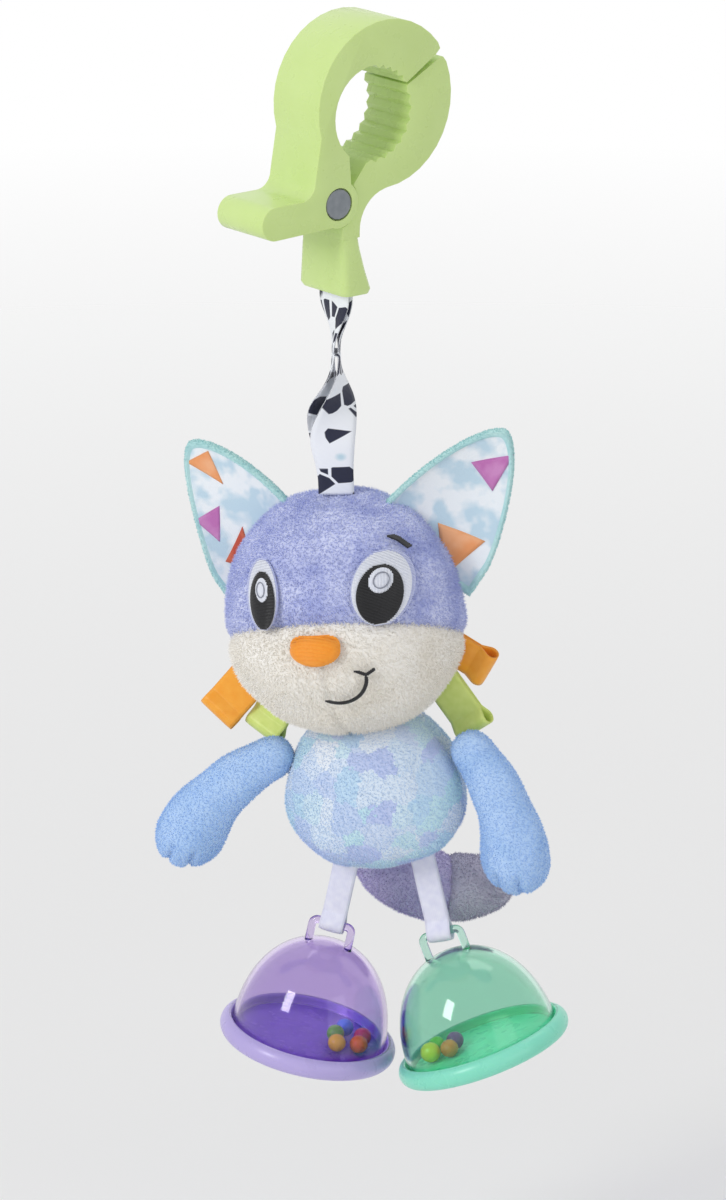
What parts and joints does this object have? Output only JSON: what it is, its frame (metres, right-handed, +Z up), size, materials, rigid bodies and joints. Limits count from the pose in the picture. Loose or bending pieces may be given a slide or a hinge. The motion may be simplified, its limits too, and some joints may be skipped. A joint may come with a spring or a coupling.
{
  "type": "hanging pram toy",
  "caption": "Plush fox pram toy on a spring clip and printed ribbon, with jointed arms and tail and clear bead rattles for feet.",
  "frame": {"origin": "centre of the hole between the clip's closed jaws, where the pram's bar goes", "axes": "+Z up as it hangs, -Y the way the fox faces, +X the fox's own left"},
  "size_m": [0.13, 0.0898, 0.3415],
  "materials": {
    "lime_plastic": "moulded, satin",
    "grey_pin": "moulded, dull",
    "spring_steel": "drawn wire",
    "printed_ribbon": "woven, printed",
    "periwinkle_plush": "short pile",
    "cream_plush": "short pile",
    "polyester_filling": "loose fibre",
    "ear_cloth": "woven, printed",
    "mint_plush": "short pile",
    "white_embroidery": "stitched",
    "black_embroidery": "stitched",
    "orange_pad": "short nap",
    "orange_satin": "satin",
    "lime_satin": "satin",
    "patched_plush": "printed short pile",
    "sky_plush": "short pile",
    "lilac_plush": "short pile",
    "pale_plush": "short pile",
    "leg_ribbon": "woven",
    "violet_clear_plastic": "clear, polished",
    "lilac_plastic": "moulded, satin",
    "green_clear_plastic": "clear, polished",
    "mint_plastic": "moulded, satin",
    "blue_bead_plastic": "moulded",
    "green_bead_plastic": "moulded",
    "yellow_bead_plastic": "moulded",
    "orange_bead_plastic": "moulded",
    "red_bead_plastic": "moulded",
    "plum_bead_plastic": "moulded"
  },
  "bodies": {
    "clip": {"clip_base_jaw": "lime_plastic", "clip_pivot_pin": "grey_pin", "clip_spring": "spring_steel"},
    "lever": {"clip_hook_jaw": "lime_plastic"},
    "ribbon_loop": {"strap_loop": "printed_ribbon"},
    "ribbon": {"strap_tail": "printed_ribbon"},
    "toy": {"head_crown": "periwinkle_plush", "head_muzzle": "cream_plush", "head_filling": "polyester_filling", "right_eye_white": "white_embroidery", "left_eye_white": "white_embroidery", "right_eye": "black_embroidery", "left_eye": "black_embroidery", "nose": "orange_pad", "mouth": "black_embroidery", "left_eyebrow": "black_embroidery", "right_ear_back": "mint_plush", "left_ear_back": "mint_plush", "right_ear_panel": "ear_cloth", "left_ear_panel": "ear_cloth", "right_orange_tag": "orange_satin", "left_orange_tag": "orange_satin", "right_lime_tag": "lime_satin", "left_lime_tag": "lime_satin", "body_front": "patched_plush", "body_back": "patched_plush", "body_filling": "polyester_filling"},
    "right_arm": {"right_arm_skin": "sky_plush", "right_arm_filling": "polyester_filling"},
    "left_arm": {"left_arm_skin": "sky_plush", "left_arm_filling": "polyester_filling"},
    "tail": {"tail_skin": "lilac_plush", "tail_tip": "pale_plush", "tail_filling": "polyester_filling"},
    "right_leg": {"right_leg_ribbon": "leg_ribbon"},
    "left_leg": {"left_leg_ribbon": "leg_ribbon"},
    "purple_rattle": {"purple_dome": "violet_clear_plastic", "purple_rim": "lilac_plastic", "purple_floor": "lilac_plastic"},
    "green_rattle": {"green_dome": "green_clear_plastic", "green_rim": "mint_plastic", "green_floor": "mint_plastic"},
    "purple_beads": {"purple_blue_bead": "blue_bead_plastic", "purple_green_bead": "green_bead_plastic", "purple_yellow_bead": "yellow_bead_plastic", "purple_orange_bead": "orange_bead_plastic", "purple_red_bead": "red_bead_plastic"},
    "green_beads": {"green_yellow_bead": "yellow_bead_plastic", "green_green_bead": "green_bead_plastic", "green_orange_bead": "orange_bead_plastic", "green_plum_bead": "plum_bead_plastic"}
  },
  "joints": [
    {"name": "clip_lever", "type": "hinge", "parent": "clip", "child": "lever", "pos_m": [-0.0085, -0.01087, -0.026], "axis": [0.788, -0.6157, 0], "range_deg": [0, 26], "stiffness_Nm_per_rad": 0.15, "springref_deg": -45.84, "deforming": ["clip_spring"]},
    {"name": "strap_swing", "type": "hinge", "parent": "clip", "child": "ribbon_loop", "pos_m": [-0.00382, -0.00489, -0.052], "axis": [0.788, -0.6157, 0], "range_deg": [-25, 25], "stiffness_Nm_per_rad": 0.05, "springref_deg": 11.34},
    {"name": "strap_sway", "type": "hinge", "parent": "ribbon_loop", "child": "ribbon", "pos_m": [-0.00382, -0.00489, -0.07645], "axis": [-0.225, 0.9744, 0], "range_deg": [-30, 30], "stiffness_Nm_per_rad": 0.05, "springref_deg": -12.44},
    {"name": "toy_twist", "type": "hinge", "parent": "ribbon", "child": "toy", "pos_m": [-0.00382, -0.00489, -0.12], "axis": [0, 0, 1], "range_deg": [-90, 90]},
    {"name": "right_arm_flap", "type": "hinge", "parent": "toy", "child": "right_arm", "pos_m": [-0.0245, -0.004, -0.20794], "axis": [-0.2079, 0.9781, 0], "range_deg": [-10, 25], "stiffness_Nm_per_rad": 0.03, "springref_deg": 1.07},
    {"name": "left_arm_flap", "type": "hinge", "parent": "toy", "child": "left_arm", "pos_m": [0.03939, -0.004, -0.20148], "axis": [-0.2079, -0.9781, 0], "range_deg": [0, 40], "stiffness_Nm_per_rad": 0.03, "springref_deg": 0.57},
    {"name": "tail_wag", "type": "hinge", "parent": "toy", "child": "tail", "pos_m": [0.0027, 0.02474, -0.2341], "axis": [0, 0, 1], "range_deg": [-5, 35], "stiffness_Nm_per_rad": 0.03},
    {"name": "right_leg_swing", "type": "hinge", "parent": "toy", "child": "right_leg", "pos_m": [-0.00208, 0.001, -0.24249], "axis": [-1, 0, 0], "range_deg": [-15, 40]},
    {"name": "left_leg_swing", "type": "hinge", "parent": "toy", "child": "left_leg", "pos_m": [0.02243, 0.001, -0.23936], "axis": [-1, 0, 0], "range_deg": [-8, 40]},
    {"name": "purple_rattle_rock", "type": "hinge", "parent": "right_leg", "child": "purple_rattle", "pos_m": [-0.00648, 0.001, -0.26323], "axis": [-0.9781, 0, 0.2079], "range_deg": [-25, 25]},
    {"name": "green_rattle_rock", "type": "hinge", "parent": "left_leg", "child": "green_rattle", "pos_m": [0.02805, 0.001, -0.26372], "axis": [-0.9336, 0, -0.3584], "range_deg": [-18, 25]},
    {"name": "purple_beads_roll", "type": "hinge", "parent": "purple_rattle", "child": "purple_beads", "pos_m": [-0.01457, 0.001, -0.30128], "axis": [0.2079, 0, 0.9781], "continuous": true},
    {"name": "green_beads_roll", "type": "hinge", "parent": "green_rattle", "child": "green_beads", "pos_m": [0.04199, 0.001, -0.30004], "axis": [-0.3584, 0, 0.9336], "continuous": true}
  ]
}
